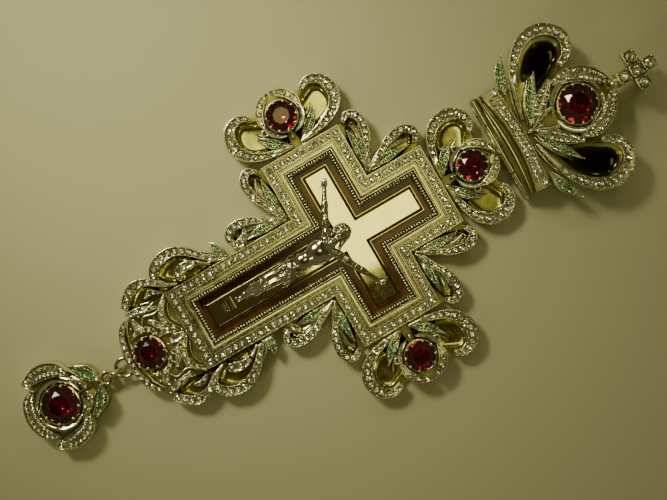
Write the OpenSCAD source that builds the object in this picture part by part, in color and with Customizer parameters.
// Jewelled cross with a hinged crown and a hanging drop, lying on its back.
// X runs along the arms, Y up the long limb to the crown, and Z out of the face.
// The origin is the crossing of the limbs, on the back face.

/* [Cross] */
// Half the width of the cross-shaped recess
recess_half = 4.9; // [4.6:0.1:5.2]
// Reach of the recess above the crossing
recess_up = 19.2; // [18:0.2:21]
// Reach of the recess below the crossing
recess_down = 39.2; // [38:0.2:42]
// Reach of the recess along each arm
recess_side = 18.8; // [18.4:0.2:20]
// Width of the beaded rim
bead_w = 1.2; // [1:0.1:1.3]
// Width of the plain step outside the rim
step_w = 1.5; // [1.3:0.1:1.6]
// Width of the stone-set channel round the frame
channel_w = 2.7; // [2.6:0.1:2.8]

/* [Heights] */
// Thickness of the polished back plates
plate_t = 0.8; // [0.6:0.1:0.8]
// Top of the scrolls above the back face
scroll_top = 3.8; // [3.4:0.1:4]
// Top of the petals above the back face
petal_top = 5.2; // [5:0.1:5.4]
// Top of the frame's plain step
frame_top = 4.6; // [4.4:0.1:4.8]
// Top face of the inner cross
inner_top = 3.4; // [3:0.1:3.4]

/* [Stones] */
// Distance between small stones along a band
stone_pitch = 1.62; // [1.6:0.02:1.9]
// Radius of the largest small stone
stone_r = 0.72; // [0.6:0.02:0.74]
// Radius of the garnets on the limbs
garnet_r = 3.5; // [3:0.1:3.5]
// Radius of the garnet in the crown
crown_garnet_r = 4.5; // [4:0.1:4.6]
// Radius of the garnet in the drop
drop_garnet_r = 4.3; // [4:0.1:4.3]

/* [Crown and hinge] */
// Distance from the frame's top edge to the hinge axis
hinge_out = 16; // [16:0.1:17]
// Height of the hinge axis above the back face
hinge_z = 2.6; // [2.5:0.1:2.7]
// Radius of the hinge pin
pin_r = 0.5; // [0.4:0.05:0.5]
// Half the length of the hinge
hinge_half = 13; // [12.6:0.1:13]
// Underside of the crown above the back face
crown_z = 4.2; // [4.2:0.1:4.4]
// Radius of the bail's hole for the neck chain
bail_r = 1.5; // [1.3:0.1:1.5]
// Swing of the crown, for a look at the motion
crown_swing = 0; // [-90:5:30]

/* [Drop] */
// Distance from the foot of the frame to the middle of the fixed eyelet
eyelet_down = 16.8; // [16.8:0.1:17.2]
// Radius of the wire in the eyelets and the link
wire_r = 0.55; // [0.45:0.05:0.55]

/* [Hidden] */
$fn = 48;
eps = 0.05;
border = bead_w + step_w + channel_w;
edge_half = recess_half + border;
edge_up = recess_up + border;
edge_down = recess_down + border;
edge_side = recess_side + border;
floor_z = plate_t + 0.8;            // top of the enamel panel
rail_w = 0.35;                      // wall on each side of the stone channel
channel_z = scroll_top;             // floor that the frame's stones stand on
inner_half = 2.5;                   // half width of the inner cross's top face
inner_bevel = 0.9;                  // width of its step
inner_gap = 2.0;                    // from the recess's end to the top face's end
petal_z = plate_t + 1.6;            // underside of the petals
garnet_z = petal_top - 0.3;         // girdle of the limb garnets
pavilion = 0.62;                    // depth of a garnet below its girdle, as a share of its radius
bezel_wall = 0.6;
cup = 1.6;                          // width of the plain cup round a limb's garnet
ringlet = [5.3, 6.6];               // a ringlet's place beside a limb's garnet
ringlet_r = 1;
ringlet_bore = 0.55;
ringlet_h = 1.6;
hinge_y = edge_up + hinge_out;
knuckle_r = 1.1;
pin_clear = 0.04;                   // radial clearance of the pin in the cross's knuckle
knuckle_half = 6.2;                 // half length of the cross's knuckle
knuckle_gap = 0.3;
strap_half = 2.2;                   // half width of the strap that carries the cross's knuckle
strap_out = 12.4;                   // from the frame's top edge to the strap's foot
crown_floor = crown_z + plate_t;
crown_loop_top = 7.4;
crown_petal_top = 8.4;
crown_garnet_y = 20;                // from the hinge axis to the crown's garnet
crown_garnet_z = crown_petal_top - 0.2;
finial_y = 35.6;                    // from the hinge axis to the middle of the small cross
finial_box = 3.3;                   // side of each of its five boxes
finial_top = 8.8;
stem_y = 29.7;                      // where the small cross's stem leaves the crown's plate
stem_w = 2.8;
stem_t = 3;
crown_disc_r = 7.6;                 // round part of the crown's plate, behind its garnet
bail_y = 12;                        // from the hinge axis to the bail's hole
bail_z = crown_z / 2;
bail_half = 2.5;
eyelet_y = -edge_down - eyelet_down;
eyelet_R = 2.2;
ring_z = 2.5;                       // height of the eyelets' plane and of the link's middle
ring_play = 2 * wire_r + 0.1;       // distance between the middles of two linked wires
link_R = 1.95;
link_y = eyelet_y - eyelet_R + ring_play - link_R;
drop_eye_R = 1.4;
drop_eye_y = link_y - link_R + ring_play - drop_eye_R;
drop_y = drop_eye_y - 12;           // middle of the drop's garnet
drop_petal_top = 4.6;
drop_disc_r = 7;                    // round part of the drop's plate, behind its garnet

// Bands: [across, along, width] at points chosen along the middle of each band.
// A trefoil stands on the end of a limb, with its base on the frame's edge.
ear = [[1.3, 0.8, 0.8], [5, 1.3, 1.5], [9.6, 2.6, 2.2], [12.5, 5, 2.8], [13.4, 8.2, 3],
       [12.2, 11.4, 2.6], [9.4, 12.6, 2], [7, 11.6, 1.3]];
ear_leaf = [[1.6, 1.4, 0.5], [4.9, 3.5, 2.4], [7.6, 6.6, 0.3]];
flower_y = 8.2;
flower_petal = [[4.9, 8.2, 1.1], [4.6, 10.6, 2.1], [2.9, 12.9, 2], [0.7, 14.1, 0.9]];
// Two loops and two leaves fan out of each inner corner of the frame.
corner_loop = [[0.7, 1.1, 0.6], [2.7, 4.8, 1.3], [4.9, 8.9, 2], [5.2, 12.9, 2.2],
               [3.3, 14.8, 1.9], [1.3, 13.7, 1.1]];
corner_leaf = [[0.8, 2, 0.4], [1.6, 6.8, 2], [1.3, 11.8, 0.3]];
// Scrolls beside the lower limb, from the frame's lower corner.
side_bud = [[0.8, 16.2, 0.5], [2.8, 15.9, 1.8], [4.9, 15.2, 0.3]];
side_scroll = [[0.7, 14.4, 0.7], [2.9, 12.2, 1.6], [6.1, 9.2, 2.2], [7.7, 5.4, 2.5],
               [6.7, 1.4, 2.5], [3.9, -0.4, 1.8], [1.5, 1.5, 1]];
side_comma = [[0.7, 12.6, 0.6], [2.1, 10.8, 1], [3.1, 8.1, 2], [2.6, 5.4, 2.4], [1.5, 4.4, 1.2]];
foot_scroll = [[0.7, 3.4, 0.7], [1.9, 0.8, 1.2], [4.3, -2.2, 1.9], [5, -5.4, 2.3],
               [3.5, -8.1, 2.2], [1.4, -9.9, 1.8]];
foot_spur = [[-1.6, -3.8, 0.8], [-0.7, -6.9, 1.9], [-0.2, -10, 1.4]];
// Pieces under the foot of the frame, from the middle of its lower edge.
swag = [[1.4, -1, 0.8], [3.4, -2.6, 1.4], [5.8, -3.2, 1.6], [8, -2.2, 1.4], [9.2, -0.7, 0.6]];
bud = [[0, -0.4, 1], [0, -2.6, 2.2], [0, -4.6, 1.2]];
twig = [[0.8, -4.4, 1.5], [3.6, -5, 1.4], [5.8, -6.4, 0.8]];
foot_comma = [[5, -7.9, 0.8], [6.5, -9.4, 1.9], [8.4, -9.7, 0.9]];
foot_arc = [[8.9, -11.7, 1.2], [7.6, -13.1, 1.6], [4.2, -14.5, 1.7], [0, -15, 1.7],
            [-4.2, -14.5, 1.7], [-7.6, -13.1, 1.6], [-8.9, -11.7, 1.2]];
foot_garnet_y = -9.8;
// Crown, from the middle of the hinge axis.
crown_loop = [[3.6, 7.3, 0.8], [8, 8.4, 1.3], [13.6, 10.5, 1.9], [18, 14.3, 2.7],
              [19.7, 18.8, 3.1], [18.2, 23, 3], [14.7, 24.9, 2.8], [11.3, 23.3, 2.2],
              [9.8, 20.4, 1.3]];
crown_side_leaf = [[10.6, 6.8, 0.7], [14.6, 7.6, 2.2], [18.9, 10.3, 0.3]];
crown_leaf = [[1.2, 8.2, 0.5], [6.2, 10.9, 2.7], [11.6, 14.9, 0.3]];
crown_fan = [[0.8, 9, 0.7], [4.3, 12.6, 2.6], [7.5, 16.4, 1.6]];
crown_petal = [[6.9, 17.6, 1.6], [7.1, 20.4, 3.2], [5.8, 24, 3.8], [3.4, 26.8, 3.2], [0.9, 28.7, 1.3]];
// Drop, from the middle of its garnet.
drop_leaf = [[0.8, 10.4, 0.9], [3.6, 8.8, 3.4], [6.7, 6, 0.4]];
drop_petal = [[5, 4.6, 1.1], [7.7, 2.7, 3.4], [8.9, -0.8, 3.8], [8.3, -4.3, 2.4]];
drop_hem = [[-5.9, -4.5, 1.2], [-3.9, -6.4, 2.9], [0, -7.3, 3.3], [3.9, -6.4, 2.9], [5.9, -4.5, 1.2]];

NODES = [
    "back_plate", "cross_frame", "beaded_rim", "enamel_panel", "inner_cross", "corpus",
    "corpus_nails", "foot_rest", "trefoil_left", "trefoil_right", "trefoil_top",
    "corner_scroll_upper_left", "corner_scroll_upper_right", "corner_scroll_lower_left",
    "corner_scroll_lower_right", "side_scroll_left", "side_scroll_right", "foot_scrollwork",
    "flower_left", "flower_right", "flower_top", "foot_setting", "garnet_left",
    "garnet_right", "garnet_top", "garnet_foot", "frame_stones", "clear_stones_cross",
    "green_stones_cross", "cross_knuckle", "drop_eyelet", "crown_back_plate", "crown_band",
    "crown_knuckles", "hinge_pin", "crown_loops", "crown_side_leaves", "crown_flower",
    "garnet_crown", "crown_finial", "finial_stones", "chain_bail", "clear_stones_crown",
    "green_stones_crown", "drop_link", "drop_back_plate", "drop_petals", "drop_leaves",
    "drop_setting", "garnet_drop", "clear_stones_drop", "green_stones_drop", "drop_eye"
];
node = "all";

// ---- bands and rows of stones ----

steps = 5; // points between two chosen points of a band
function spline(a, b, c, d, t) =
    0.5 * (2 * b + (c - a) * t + (2 * a - 5 * b + 4 * c - d) * t * t
           + (3 * b - a - 3 * c + d) * t * t * t);
function spine(p) = concat(
    [for (i = [0 : len(p) - 2]) for (k = [0 : steps - 1])
        spline(p[max(i - 1, 0)], p[i], p[i + 1], p[min(i + 2, len(p) - 1)], k / steps)],
    [p[len(p) - 1]]);
function flat(q) = [q.x, q.y];
function side(s, way) = [for (i = [0 : len(s) - 1])
    let (a = flat(s[max(i - 1, 0)]), b = flat(s[min(i + 1, len(s) - 1)]),
         d = (b - a) / norm(b - a))
    flat(s[i]) + way * s[i].z / 2 * [-d.y, d.x]];
function outline(p) = let (s = spine(p), l = side(s, 1), r = side(s, -1))
    concat(l, [for (i = [len(r) - 1 : -1 : 0]) r[i]]);
function run(s) = [for (i = 0, a = 0; i < len(s);
    a = a + (i + 1 < len(s) ? norm(flat(s[i + 1]) - flat(s[i])) : 0), i = i + 1) a];
// Stones stand a pitch apart between two shares of a band's length: [x, y, radius].
function seats(p, from, to) =
    let (s = spine(p), d = run(s), n = len(s), whole = d[n - 1],
         first = from * whole, span = (to - from) * whole,
         count = max(1, floor(span / stone_pitch)), gap = span / count)
    [for (k = [0 : count])
        let (at = first + k * gap,
             q = [for (axis = [0 : 2]) lookup(at, [for (i = [0 : n - 1]) [d[i], s[i][axis]]])])
        [q.x, q.y, min(stone_r, 0.4 * q.z)]];

module silver() { color([0.82, 0.81, 0.74]) children(); }
module gilt() { color([0.86, 0.76, 0.42]) children(); }
module clear() { color([0.93, 0.94, 0.92]) children(); }
module green() { color([0.12, 0.5, 0.28]) children(); }
module red() { color([0.5, 0.02, 0.06]) children(); }
module slab(z0, z1) { translate([0, 0, z0]) linear_extrude(z1 - z0) children(); }
module both() { children(); mirror([1, 0, 0]) children(); }
module band(p, z0, z1) { slab(z0, z1) polygon(outline(p)); }
module stone(r) { cylinder(h = 0.55, r1 = r, r2 = 0.62 * r, $fn = 24); }
module row(p, z, from = 0.08, to = 0.92) {
    for (q = seats(p, from, to))
        translate([q.x, q.y, z]) stone(q.z);
}

// A garnet: a cone down to a small culet, and a bevelled crown over the girdle.
module garnet(r) {
    translate([0, 0, -pavilion * r]) cylinder(h = pavilion * r, r1 = 0.12 * r, r2 = r);
    cylinder(h = 0.12 * r, r = r);
    translate([0, 0, 0.12 * r]) cylinder(h = 0.26 * r, r1 = r, r2 = 0.6 * r);
}
// A round setting takes its garnet from the front, and the stone's point rests on its floor.
module well(r, girdle) { translate([0, 0, girdle - pavilion * r]) cylinder(h = 10, r = r + eps); }
module drum(r, z0, z1) { translate([0, 0, z0]) cylinder(h = z1 - z0, r = r + bezel_wall); }

// ---- places ----

module at_top() { translate([0, edge_up, 0]) children(); }
module at_left() { translate([-edge_side, 0, 0]) rotate(90) children(); }
module at_right() { translate([edge_side, 0, 0]) rotate(-90) children(); }
module at_foot() { translate([0, -edge_down, 0]) children(); }
module at_trefoils() { at_top() children(); at_left() children(); at_right() children(); }
module at_corner(x, y) { scale([x, y, 1]) translate([edge_half, edge_half, 0]) children(); }
module at_corners() { for (x = [-1, 1]) for (y = [-1, 1]) at_corner(x, y) children(); }
module at_side(x) { scale([x, 1, 1]) translate([edge_half, -edge_down, 0]) children(); }
module at_crown() { translate([0, hinge_y, 0]) children(); }
module at_drop() { translate([0, drop_y, 0]) children(); }

// ---- the cross ----

foot_edge = concat(side(spine(foot_arc), 1), [[-edge_half, 0.3], [edge_half, 0.3]]);
module cross_outline(out) {
    half = recess_half + out;
    translate([-half, -recess_down - out]) square([2 * half, recess_up + recess_down + 2 * out]);
    translate([-recess_side - out, -half]) square([2 * (recess_side + out), 2 * half]);
}
module frame_ring(inside, outside, z0, z1) {
    difference() {
        slab(z0, z1) cross_outline(outside);
        slab(z0 - eps, z1 + eps) cross_outline(inside);
    }
}
module sheet(p) { slab(0, plate_t) polygon(p); }
module back_plate() {
    gilt() {
        slab(0, plate_t) cross_outline(border);
        at_trefoils() {
            both() sheet(filled(ear, -1));
            sheet([[-6, -0.3], [6, -0.3], [5.4, 10], [2, 14.4], [-2, 14.4], [-5.4, 10]]);
        }
        at_corners() for (turned = [false, true])
            mirror(turned ? [1, -1, 0] : [0, 0, 0]) sheet(filled(corner_loop, -1));
        for (x = [-1, 1]) at_side(x) {
            sheet(filled(side_scroll, 1));
            sheet(filled(foot_scroll, 1));
            sheet(outline(side_bud));
            sheet([[-0.3, 15.8], [1.6, 15.8], [1.6, 16.4], [-0.3, 16.6]]);
        }
        at_foot() sheet(foot_edge);
    }
}
// A loop's outer edge, closed along the frame.
function filled(p, way) = concat(side(spine(p), way), [[-0.2, p[len(p) - 1].y], [-0.2, p[0].y]]);

module cross_frame() {
    silver() {
        frame_ring(0, border, plate_t, channel_z);
        frame_ring(bead_w, bead_w + step_w, channel_z, frame_top);
        frame_ring(bead_w + step_w, bead_w + step_w + rail_w, channel_z, channel_z + 0.5);
        frame_ring(border - rail_w, border, channel_z, channel_z + 0.5);
    }
}
module beaded_rim() {
    silver() frame_ring(0, bead_w, channel_z, frame_top + 0.3);
}
module enamel_panel() {
    color([0.2, 0.03, 0.05]) slab(plate_t, floor_z) cross_outline(0);
}
module inner_outline(out) {
    half = inner_half + out;
    up = recess_up - inner_gap + out;
    down = recess_down - inner_gap + out;
    reach = recess_side - inner_gap + out;
    translate([-half, -down]) square([2 * half, up + down]);
    translate([-reach, -half]) square([2 * reach, 2 * half]);
}
module inner_cross() {
    color([0.6, 0.55, 0.52]) {
        slab(floor_z, inner_top - 0.7) inner_outline(inner_bevel);
        slab(inner_top - 0.7, inner_top) inner_outline(0);
    }
}

// The figure is built of rounded limbs, cut flat where it lies on the inner cross.
module limb(a, ra, b, rb) {
    hull() {
        translate(a) sphere(ra, $fn = 14);
        translate(b) sphere(rb, $fn = 14);
    }
}
figure_x = -0.5;
hand = [13.6, 1, inner_top + 0.6];
// Each nail: its place on the figure, and how far its head stands off the inner cross.
nails = [[-hand.x, hand.y, 1.4], [hand.x, hand.y, 1.4], [0, -29.6, 2]];
module corpus() {
    silver() difference() {
        translate([figure_x, 0, 0]) union() {
            translate([-0.5, -1.2, inner_top + 2.2]) scale([1, 1.2, 1]) sphere(2.2, $fn = 20);
            limb([0, -5, inner_top + 1.6], 1, [-0.5, -2.4, inner_top + 2.2], 1);
            both() limb([2.7, -4.5, inner_top + 1.4], 0.95, [7.4, -2.7, inner_top + 1.1], 0.75);
            both() limb([7.4, -2.7, inner_top + 1.1], 0.75, [12.6, 0.5, inner_top + 0.7], 0.6);
            both() limb([12.6, 0.5, inner_top + 0.7], 0.6, hand, 0.8);
            limb([0, -6.8, inner_top + 1.5], 2.7, [0, -13.2, inner_top + 1.2], 2);
            limb([0, -13.2, inner_top + 1.2], 2.1, [0, -17.6, inner_top + 1.3], 2.4);
            both() limb([1.1, -17.6, inner_top + 1.5], 1.5, [0.9, -23, inner_top + 2.1], 1.1);
            both() limb([0.9, -23, inner_top + 2.1], 1, [0.4, -28.6, inner_top + 1], 0.7);
            limb([0, -28.6, inner_top + 1], 0.9, [0, -30.6, inner_top + 0.8], 0.7);
        }
        translate([-30, -50, inner_top - 10]) cube([60, 80, 10]);
        for (n = nails) translate([figure_x + n.x, n.y, 0]) cylinder(h = 20, r = 0.36);
    }
}
module corpus_nails() {
    color([0.9, 0.88, 0.8]) for (n = nails) translate([figure_x + n.x, n.y, inner_top]) {
        cylinder(h = n.z, r = 0.3);
        translate([0, 0, n.z]) cylinder(h = 0.3, r1 = 0.65, r2 = 0.4);
    }
}
module foot_rest() {
    silver() translate([figure_x, 0, inner_top]) {
        translate([-1.5, -32.6, 0]) cube([3, 0.9, 1]);
        translate([-1.3, -34.6, 0]) cube([2.6, 1.4, 0.5]);
    }
}

// ---- scrollwork ----

module trefoil() {
    silver() both() {
        band(ear, plate_t, scroll_top);
        band(ear_leaf, plate_t, scroll_top - 0.4);
    }
}
module corner_scroll() {
    silver() for (turned = [false, true])
        mirror(turned ? [1, -1, 0] : [0, 0, 0]) {
            band(corner_loop, plate_t, scroll_top);
            band(corner_leaf, plate_t, scroll_top - 0.4);
        }
}
module side_scrolls() {
    silver() {
        for (p = [side_scroll, side_comma, foot_scroll, foot_spur]) band(p, plate_t, scroll_top);
        band(side_bud, plate_t, scroll_top - 0.4);
    }
}
module foot_scrollwork() {
    silver() at_foot() {
        both() for (p = [swag, twig, foot_comma]) band(p, plate_t, scroll_top);
        band(bud, plate_t, scroll_top);
        band(foot_arc, plate_t, scroll_top);
    }
}
// A stone in a bezel, in a cup of plain petals and two set petals that meet in a point.
module flower() {
    silver() difference() {
        union() {
            both() band(flower_petal, petal_z, petal_top);
            translate([0, flower_y, 0]) drum(garnet_r, plate_t, garnet_z);
            translate([0, flower_y, petal_z]) cylinder(h = 0.6, r = garnet_r + cup);
            intersection() {
                translate([0, flower_y, petal_z]) cylinder(h = 1.4, r = garnet_r + cup);
                translate([-6, 1, petal_z]) cube([12, flower_y - 1, 2]);
            }
            both() translate([ringlet.x, ringlet.y, petal_z]) difference() {
                cylinder(h = ringlet_h, r = ringlet_r);
                translate([0, 0, 0.3]) cylinder(h = 2, r = ringlet_bore);
            }
            translate([0, flower_y - garnet_r - cup - 0.3, petal_z]) cylinder(h = 1.8, r = 0.5);
        }
        translate([0, flower_y, 0]) well(garnet_r, garnet_z);
    }
}
module foot_setting() {
    silver() at_foot() translate([0, foot_garnet_y, 0]) difference() {
        drum(garnet_r, plate_t, garnet_z);
        well(garnet_r, garnet_z);
    }
}
module limb_garnet() {
    red() translate([0, flower_y, garnet_z]) garnet(garnet_r);
}
module garnet_foot() {
    red() at_foot() translate([0, foot_garnet_y, garnet_z]) garnet(garnet_r);
}

// Stones along one straight side of the frame's channel, both ends set in from the corners.
module straight_row(a, b) {
    count = round(norm(b - a) / (stone_pitch + 0.1));
    for (k = [0 : count - 1])
        translate(a + (b - a) * k / count) stone(stone_r);
}
module frame_stones() {
    mid = border - channel_w / 2;
    h = recess_half + mid;
    up = recess_up + mid;
    down = recess_down + mid;
    out = recess_side + mid;
    corners = [[h, up], [h, h], [out, h], [out, -h], [h, -h], [h, -down], [-h, -down],
               [-h, -h], [-out, -h], [-out, h], [-h, h], [-h, up]];
    clear() translate([0, 0, channel_z])
        for (i = [0 : len(corners) - 1])
            straight_row(corners[i], corners[(i + 1) % len(corners)]);
}
module clear_stones_cross() {
    clear() {
        at_trefoils() both() {
            row(ear, scroll_top, 0.24, 0.97);
            row(flower_petal, petal_top, 0.1, 0.9);
        }
        at_corners() for (turned = [false, true])
            mirror(turned ? [1, -1, 0] : [0, 0, 0]) row(corner_loop, scroll_top, 0.32, 0.95);
        for (x = [-1, 1]) at_side(x) {
            row(side_scroll, scroll_top, 0.14, 0.9);
            row(side_comma, scroll_top, 0.42, 0.9);
            row(foot_scroll, scroll_top, 0.3, 0.95);
            row(foot_spur, scroll_top, 0.1, 0.9);
        }
        at_foot() {
            both() {
                row(swag, scroll_top, 0.16, 0.84);
                row(twig, scroll_top, 0.1, 0.8);
                row(foot_comma, scroll_top, 0.2, 0.85);
            }
            row(bud, scroll_top, 0.15, 0.85);
            row(foot_arc, scroll_top, 0.04, 0.96);
        }
    }
}
module green_stones_cross() {
    green() translate([0, 0, scroll_top - 0.4]) {
        at_trefoils() both() row(ear_leaf, 0, 0.24, 0.8);
        at_corners() for (turned = [false, true])
            mirror(turned ? [1, -1, 0] : [0, 0, 0]) row(corner_leaf, 0, 0.3, 0.78);
        for (x = [-1, 1]) at_side(x) row(side_bud, 0, 0.3, 0.75);
    }
}

// ---- hinge and crown ----

module bore_x(x0, x1, r) {
    translate([x0, 0, 0]) rotate([0, 90, 0]) cylinder(h = x1 - x0, r = r);
}
module cross_knuckle() {
    silver() difference() {
        union() {
            translate([0, hinge_y, hinge_z]) bore_x(-knuckle_half, knuckle_half, knuckle_r);
            translate([-strap_half, edge_up + strap_out, plate_t])
                cube([2 * strap_half, hinge_out - strap_out, petal_z - plate_t - eps]);
        }
        translate([0, hinge_y, hinge_z]) bore_x(-20, 20, pin_r + pin_clear);
    }
}
module crown_knuckles() {
    x0 = knuckle_half + knuckle_gap;
    silver() difference() {
        both() {
            translate([0, hinge_y, hinge_z]) bore_x(x0, hinge_half, knuckle_r);
            translate([x0, hinge_y, hinge_z]) cube([hinge_half - x0, 1.1, crown_z - hinge_z]);
        }
        translate([0, hinge_y, hinge_z]) bore_x(-20, 20, pin_r + pin_clear);
    }
}
module hinge_pin() {
    color([0.7, 0.7, 0.66]) translate([0, hinge_y, hinge_z]) {
        bore_x(-hinge_half, hinge_half, pin_r);
        bore_x(-hinge_half - 0.3, -hinge_half, 0.8);
        bore_x(hinge_half, hinge_half + 0.3, 0.8);
    }
}
// The diadem's two edges rise towards the middle.
function arch(x, end, rise) = end + rise * (1 - pow(x / hinge_half, 2));
band_x = [for (i = [-6 : 6]) i * hinge_half / 6];
upper_edge = [for (x = band_x) [x, arch(x, 5.3, 1)]];
lower_edge = [for (x = band_x) [-x, arch(x, 1.6, 1.8)]];
module crown_back_plate() {
    gilt() at_crown() translate([0, 0, crown_z]) {
        sheet(concat(upper_edge, [[hinge_half, 0], [-hinge_half, 0]]));
        both() {
            sheet(concat(side(spine(crown_loop), -1), [[8, 18], [-0.2, 20], [-0.2, 5.5]]));
            sheet(outline(crown_side_leaf));
            sheet([[6, 5], [11.6, 5], [12.4, 7.2], [10.4, 8.8], [6, 7.5]]);
        }
        translate([0, crown_garnet_y, 0]) cylinder(h = plate_t, r = crown_disc_r);
        sheet([[-5, 25], [5, 25], [1.5, stem_y], [-1.5, stem_y]]);
    }
}
module crown_band() {
    silver() at_crown() slab(crown_floor, crown_loop_top) polygon(concat(upper_edge, lower_edge));
}
module crown_loops() {
    silver() at_crown() both() band(crown_loop, crown_floor, crown_loop_top);
}
module crown_side_leaves() {
    silver() at_crown() both() band(crown_side_leaf, crown_floor, crown_loop_top - 0.6);
}
module crown_flower() {
    silver() at_crown() difference() {
        union() {
            both() {
                band(crown_leaf, crown_floor, crown_petal_top - 0.6);
                band(crown_fan, crown_floor, crown_petal_top);
                band(crown_petal, crown_floor, crown_petal_top);
            }
            translate([0, crown_garnet_y, 0]) drum(crown_garnet_r, crown_floor, crown_garnet_z);
            translate([0, 8.1, crown_floor]) cylinder(h = 2.6, r = 0.8);
        }
        translate([0, crown_garnet_y, 0]) well(crown_garnet_r, crown_garnet_z);
    }
}
module garnet_crown() {
    red() translate([0, hinge_y + crown_garnet_y, crown_garnet_z]) garnet(crown_garnet_r);
}
module crown_finial() {
    half = finial_box / 2;
    silver() at_crown() {
        translate([-stem_w / 2, stem_y, crown_z])
            cube([stem_w, finial_y - half - stem_y, stem_t]);
        translate([-half, finial_y - half, crown_z])
            cube([finial_box, 2 * finial_box, finial_top - crown_z]);
        translate([-3 * half, finial_y - half, crown_z])
            cube([3 * finial_box, finial_box, finial_top - crown_z]);
        translate([-half, finial_y - 3 * half, crown_z])
            cube([finial_box, finial_box, finial_top - crown_z]);
    }
}
module finial_stones() {
    clear() at_crown() translate([0, finial_y, finial_top])
        for (p = [[0, 0], [1, 0], [-1, 0], [0, 1], [0, -1]])
            translate(finial_box * p) stone(1.2);
}
// The bail hangs behind the crown, and its hole runs across for the neck chain.
module chain_bail() {
    silver() translate([0, hinge_y + bail_y, bail_z]) difference() {
        union() {
            bore_x(-bail_half, bail_half, bail_z);
            translate([-bail_half, -1.3, 0.6]) cube([2 * bail_half, 2.6, bail_z - 0.6]);
        }
        bore_x(-5, 5, bail_r);
    }
}
module clear_stones_crown() {
    clear() at_crown() {
        both() {
            row(crown_loop, crown_loop_top, 0.3, 0.97);
            row(crown_fan, crown_petal_top, 0.3, 0.95);
            row(crown_petal, crown_petal_top, 0.05, 0.9);
        }
        for (i = [-7 : 7])
            let (x = i * (hinge_half - 1.1) / 7)
                translate([x, (arch(x, 5.3, 1) + arch(x, 1.6, 1.8)) / 2, crown_loop_top])
                    stone(0.74);
    }
}
module green_stones_crown() {
    green() at_crown() both() {
        row(crown_leaf, crown_petal_top - 0.6, 0.2, 0.72);
        row(crown_side_leaf, crown_loop_top - 0.6, 0.2, 0.72);
    }
}

// ---- drop ----

module wire_ring(R) { rotate_extrude() translate([R, 0]) circle(r = wire_r, $fn = 24); }
// The eyelet is soldered to the outer edge of the foot's arc, and its ring stops there.
module drop_eyelet() {
    silver() difference() {
        translate([0, eyelet_y, ring_z]) wire_ring(eyelet_R);
        at_foot() slab(0, frame_top) polygon(foot_edge);
    }
}
module drop_link() {
    silver() translate([0, link_y, ring_z]) rotate([0, 90, 0]) wire_ring(link_R);
}
// The eye is soldered to the head of the drop's plate.
module drop_eye() {
    silver() {
        translate([0, drop_eye_y, ring_z]) wire_ring(drop_eye_R);
        translate([-0.9, drop_eye_y - drop_eye_R - 0.9, plate_t]) cube([1.8, 1, ring_z - plate_t]);
    }
}
module drop_back_plate() {
    gilt() at_drop() {
        cylinder(h = plate_t, r = drop_disc_r);
        both() {
            sheet(concat(side(spine(drop_petal), 1), [[-0.2, -5], [-0.2, 5]]));
            sheet(concat(side(spine(drop_leaf), 1), [[-0.2, 0], [-0.2, 10.9]]));
        }
        sheet(outline(drop_hem));
    }
}
module drop_petals() {
    silver() at_drop() {
        both() band(drop_petal, plate_t, drop_petal_top);
        band(drop_hem, plate_t, drop_petal_top - 0.3);
    }
}
// The leaves meet over the eye, and are hollowed out behind to clear it.
module drop_leaves() {
    silver() difference() {
        at_drop() both() band(drop_leaf, plate_t, drop_petal_top + 0.2);
        translate([0, drop_eye_y, 0]) cylinder(h = ring_z + wire_r + 0.2, r = drop_eye_R + 1.2);
    }
}
module drop_setting() {
    silver() at_drop() difference() {
        union() {
            drum(drop_garnet_r, plate_t, garnet_z);
            difference() {
                translate([0, 0, plate_t]) cylinder(h = 2.6, r = drop_garnet_r + 1.1);
                translate([-8, 1, plate_t + 1.2]) cube([16, 8, 4]);
            }
        }
        well(drop_garnet_r, garnet_z);
    }
}
module garnet_drop() {
    red() at_drop() translate([0, 0, garnet_z]) garnet(drop_garnet_r);
}
module clear_stones_drop() {
    clear() at_drop() {
        both() row(drop_petal, drop_petal_top, 0.1, 0.94);
        row(drop_hem, drop_petal_top - 0.3, 0.08, 0.92);
    }
}
module green_stones_drop() {
    green() at_drop() both() row(drop_leaf, drop_petal_top + 0.2, 0.2, 0.8);
}

// ---- one line for each node ----

module swung() {
    translate([0, hinge_y, hinge_z]) rotate([crown_swing, 0, 0])
        translate([0, -hinge_y, -hinge_z]) children();
}
function shown(name) = node == "all" || node == name;

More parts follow.
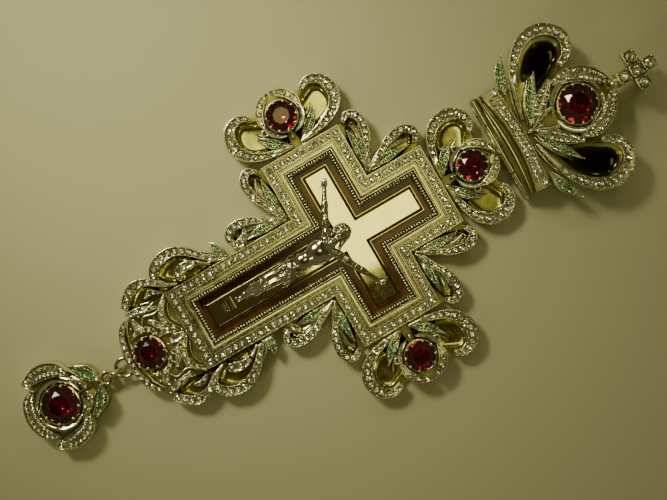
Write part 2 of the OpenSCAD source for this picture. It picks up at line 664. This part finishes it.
if (shown("back_plate")) back_plate();
if (shown("cross_frame")) cross_frame();
if (shown("beaded_rim")) beaded_rim();
if (shown("enamel_panel")) enamel_panel();
if (shown("inner_cross")) inner_cross();
if (shown("corpus")) corpus();
if (shown("corpus_nails")) corpus_nails();
if (shown("foot_rest")) foot_rest();
if (shown("trefoil_left")) at_left() trefoil();
if (shown("trefoil_right")) at_right() trefoil();
if (shown("trefoil_top")) at_top() trefoil();
if (shown("corner_scroll_upper_left")) at_corner(-1, 1) corner_scroll();
if (shown("corner_scroll_upper_right")) at_corner(1, 1) corner_scroll();
if (shown("corner_scroll_lower_left")) at_corner(-1, -1) corner_scroll();
if (shown("corner_scroll_lower_right")) at_corner(1, -1) corner_scroll();
if (shown("side_scroll_left")) at_side(-1) side_scrolls();
if (shown("side_scroll_right")) at_side(1) side_scrolls();
if (shown("foot_scrollwork")) foot_scrollwork();
if (shown("flower_left")) at_left() flower();
if (shown("flower_right")) at_right() flower();
if (shown("flower_top")) at_top() flower();
if (shown("foot_setting")) foot_setting();
if (shown("garnet_left")) at_left() limb_garnet();
if (shown("garnet_right")) at_right() limb_garnet();
if (shown("garnet_top")) at_top() limb_garnet();
if (shown("garnet_foot")) garnet_foot();
if (shown("frame_stones")) frame_stones();
if (shown("clear_stones_cross")) clear_stones_cross();
if (shown("green_stones_cross")) green_stones_cross();
if (shown("cross_knuckle")) cross_knuckle();
if (shown("drop_eyelet")) drop_eyelet();
if (shown("crown_back_plate")) swung() crown_back_plate();
if (shown("crown_band")) swung() crown_band();
if (shown("crown_knuckles")) swung() crown_knuckles();
if (shown("hinge_pin")) swung() hinge_pin();
if (shown("crown_loops")) swung() crown_loops();
if (shown("crown_side_leaves")) swung() crown_side_leaves();
if (shown("crown_flower")) swung() crown_flower();
if (shown("garnet_crown")) swung() garnet_crown();
if (shown("crown_finial")) swung() crown_finial();
if (shown("finial_stones")) swung() finial_stones();
if (shown("chain_bail")) swung() chain_bail();
if (shown("clear_stones_crown")) swung() clear_stones_crown();
if (shown("green_stones_crown")) swung() green_stones_crown();
if (shown("drop_link")) drop_link();
if (shown("drop_back_plate")) drop_back_plate();
if (shown("drop_petals")) drop_petals();
if (shown("drop_leaves")) drop_leaves();
if (shown("drop_setting")) drop_setting();
if (shown("garnet_drop")) garnet_drop();
if (shown("clear_stones_drop")) clear_stones_drop();
if (shown("green_stones_drop")) green_stones_drop();
if (shown("drop_eye")) drop_eye();
